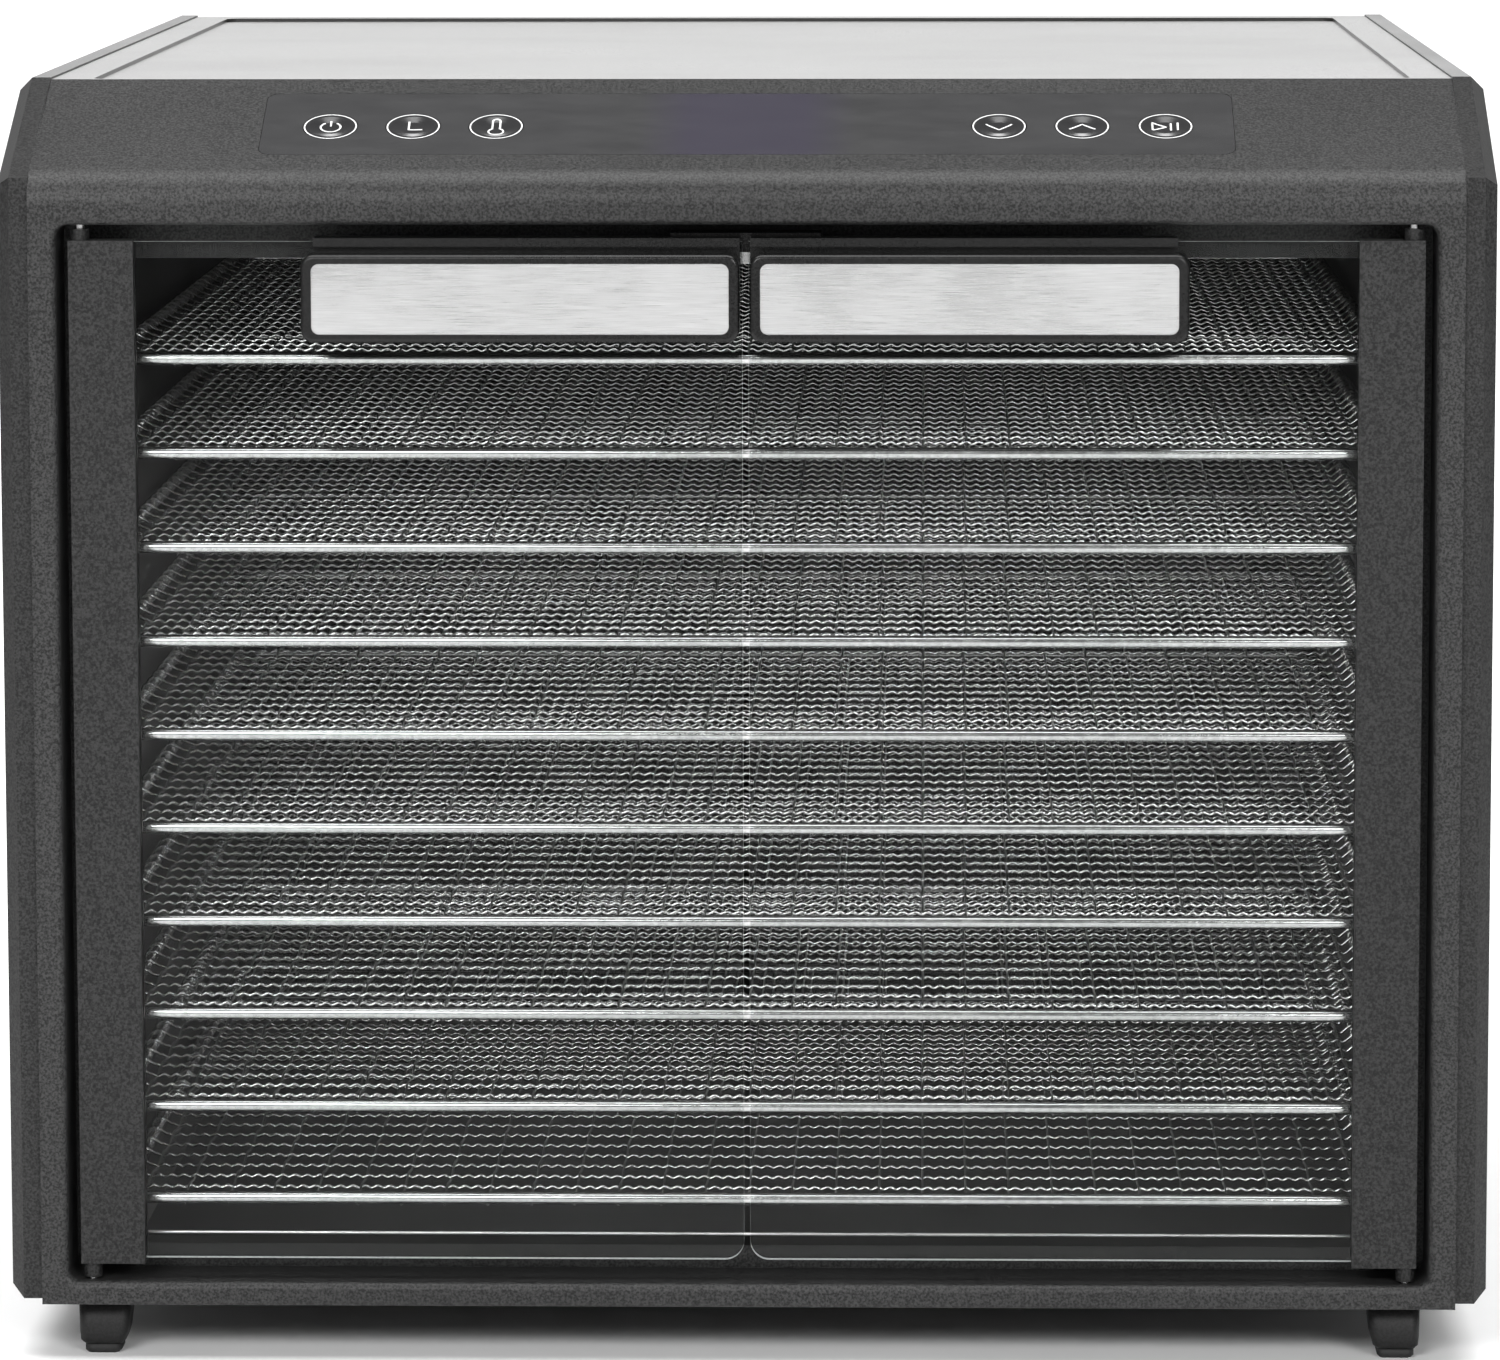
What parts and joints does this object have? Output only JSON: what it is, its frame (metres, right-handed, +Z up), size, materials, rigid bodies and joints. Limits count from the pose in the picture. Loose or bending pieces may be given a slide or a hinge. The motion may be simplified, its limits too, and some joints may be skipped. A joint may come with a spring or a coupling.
{
  "type": "food dehydrator",
  "caption": "Box-shaped electric food dehydrator with two clear side-hinged doors, stacked wire trays, a sloping control panel, and a rear fan and heater.",
  "frame": {"origin": "on the floor, at the middle of the object's box seen from above", "axes": "+Z up, +Y from the doors to the back, +X to the right of someone who faces the doors"},
  "size_m": [0.466, 0.522, 0.4025],
  "materials": {
    "frame_plastic": "fine textured dark grey moulding",
    "side_plastic": "fine textured dark grey moulding",
    "top_plastic": "satin dark grey, smoother inside the recess",
    "stile_plastic": "fine textured dark grey strip",
    "liner_metal": "satin black sheet metal",
    "rear_metal": "textured black powder coat",
    "filter_gauze": "fine black woven gauze",
    "inlet_plastic": "plain black moulding",
    "clear_pane": "clear, lightly smoked",
    "handle_plastic": "satin black moulding",
    "brushed_insert": "horizontal brushed grain",
    "overlay_gloss": "smooth dark grey panel",
    "key_gloss": "glossy dished cap with a pale ring and symbol",
    "display_glass": "unlit display",
    "tray_wire": "bright wire",
    "drip_steel": "bright sheet",
    "steel": "plain steel",
    "heater_metal": "heat-darkened steel",
    "motor_metal": "zinc plated",
    "fan_aluminium": "plain",
    "board": "circuit board",
    "foot_plastic": "textured black",
    "rubber": "matt black"
  },
  "bodies": {
    "housing": {"front_frame": "frame_plastic", "top_panel": "top_plastic", "left_side_panel": "side_plastic", "right_side_panel": "side_plastic", "base_panel": "rear_metal", "rear_panel": "rear_metal", "rear_cover": "frame_plastic", "intake_filter": "filter_gauze", "power_inlet": "inlet_plastic", "left_liner": "liner_metal", "right_liner": "liner_metal", "top_liner": "liner_metal", "bottom_liner": "liner_metal", "cabin_flange": "frame_plastic", "air_baffle": "liner_metal", "temperature_probe": "steel", "left_tray_rails": "liner_metal", "right_tray_rails": "liner_metal", "heating_element": "heater_metal", "heater_clips": "heater_metal", "fan_motor": "motor_metal", "motor_bracket": "motor_metal", "control_board": "board", "display_module": "display_glass", "control_overlay": "overlay_gloss", "door_catch": "handle_plastic", "feet": "foot_plastic", "foot_pads": "rubber", "rear_screws": "steel"},
    "left_door": {"left_door_glass": "clear_pane", "left_door_stile": "stile_plastic", "left_hinge_pins": "steel", "left_handle": "handle_plastic", "left_handle_insert": "brushed_insert", "left_strike": "steel"},
    "right_door": {"right_door_glass": "clear_pane", "right_door_stile": "stile_plastic", "right_hinge_pins": "steel", "right_handle": "handle_plastic", "right_handle_insert": "brushed_insert", "right_strike": "steel"},
    "key_power_body": {"key_power": "key_gloss"},
    "key_time_body": {"key_time": "key_gloss"},
    "key_temperature_body": {"key_temperature": "key_gloss"},
    "key_down_body": {"key_down": "key_gloss"},
    "key_up_body": {"key_up": "key_gloss"},
    "key_start_body": {"key_start": "key_gloss"},
    "tray_01_body": {"tray_01": "tray_wire"},
    "tray_02_body": {"tray_02": "tray_wire"},
    "tray_03_body": {"tray_03": "tray_wire"},
    "tray_04_body": {"tray_04": "tray_wire"},
    "tray_05_body": {"tray_05": "tray_wire"},
    "tray_06_body": {"tray_06": "tray_wire"},
    "tray_07_body": {"tray_07": "tray_wire"},
    "tray_08_body": {"tray_08": "tray_wire"},
    "tray_09_body": {"tray_09": "tray_wire"},
    "tray_10_body": {"tray_10": "tray_wire"},
    "drip_tray_body": {"drip_tray": "drip_steel"},
    "fan": {"fan_blades": "fan_aluminium", "fan_shaft": "steel"}
  },
  "joints": [
    {"name": "left_door_hinge", "type": "hinge", "parent": "housing", "child": "left_door", "pos_m": [-0.2075, -0.248, 0.19], "axis": [0, 0, -1], "range_deg": [0, 105]},
    {"name": "right_door_hinge", "type": "hinge", "parent": "housing", "child": "right_door", "pos_m": [0.2075, -0.248, 0.19], "axis": [0, 0, 1], "range_deg": [0, 105]},
    {"name": "fan_spin", "type": "hinge", "parent": "housing", "child": "fan", "pos_m": [0, 0.207, 0.19], "axis": [0, 1, 0], "continuous": true},
    {"name": "key_power_press", "type": "slide", "parent": "housing", "child": "key_power_body", "axis": [0, 0.3987, -0.9171], "range_m": [0, 0.0005], "stiffness_N_per_m": 1000, "springref_m": -0.0002},
    {"name": "key_time_press", "type": "slide", "parent": "housing", "child": "key_time_body", "axis": [0, 0.3987, -0.9171], "range_m": [0, 0.0005], "stiffness_N_per_m": 1000, "springref_m": -0.0002},
    {"name": "key_temperature_press", "type": "slide", "parent": "housing", "child": "key_temperature_body", "axis": [0, 0.3987, -0.9171], "range_m": [0, 0.0005], "stiffness_N_per_m": 1000, "springref_m": -0.0002},
    {"name": "key_down_press", "type": "slide", "parent": "housing", "child": "key_down_body", "axis": [0, 0.3987, -0.9171], "range_m": [0, 0.0005], "stiffness_N_per_m": 1000, "springref_m": -0.0002},
    {"name": "key_up_press", "type": "slide", "parent": "housing", "child": "key_up_body", "axis": [0, 0.3987, -0.9171], "range_m": [0, 0.0005], "stiffness_N_per_m": 1000, "springref_m": -0.0002},
    {"name": "key_start_press", "type": "slide", "parent": "housing", "child": "key_start_body", "axis": [0, 0.3987, -0.9171], "range_m": [0, 0.0005], "stiffness_N_per_m": 1000, "springref_m": -0.0002},
    {"name": "tray_01_slide", "type": "slide", "parent": "housing", "child": "tray_01_body", "axis": [0, -1, 0], "range_m": [0, 0.0035]},
    {"name": "tray_02_slide", "type": "slide", "parent": "housing", "child": "tray_02_body", "axis": [0, -1, 0], "range_m": [0, 0.0035]},
    {"name": "tray_03_slide", "type": "slide", "parent": "housing", "child": "tray_03_body", "axis": [0, -1, 0], "range_m": [0, 0.0035]},
    {"name": "tray_04_slide", "type": "slide", "parent": "housing", "child": "tray_04_body", "axis": [0, -1, 0], "range_m": [0, 0.0035]},
    {"name": "tray_05_slide", "type": "slide", "parent": "housing", "child": "tray_05_body", "axis": [0, -1, 0], "range_m": [0, 0.0035]},
    {"name": "tray_06_slide", "type": "slide", "parent": "housing", "child": "tray_06_body", "axis": [0, -1, 0], "range_m": [0, 0.0035]},
    {"name": "tray_07_slide", "type": "slide", "parent": "housing", "child": "tray_07_body", "axis": [0, -1, 0], "range_m": [0, 0.0035]},
    {"name": "tray_08_slide", "type": "slide", "parent": "housing", "child": "tray_08_body", "axis": [0, -1, 0], "range_m": [0, 0.0035]},
    {"name": "tray_09_slide", "type": "slide", "parent": "housing", "child": "tray_09_body", "axis": [0, -1, 0], "range_m": [0, 0.0035]},
    {"name": "tray_10_slide", "type": "slide", "parent": "housing", "child": "tray_10_body", "axis": [0, -1, 0], "range_m": [0, 0.0035]},
    {"name": "drip_tray_slide", "type": "slide", "parent": "housing", "child": "drip_tray_body", "axis": [0, -1, 0], "range_m": [0, 0.006]}
  ]
}
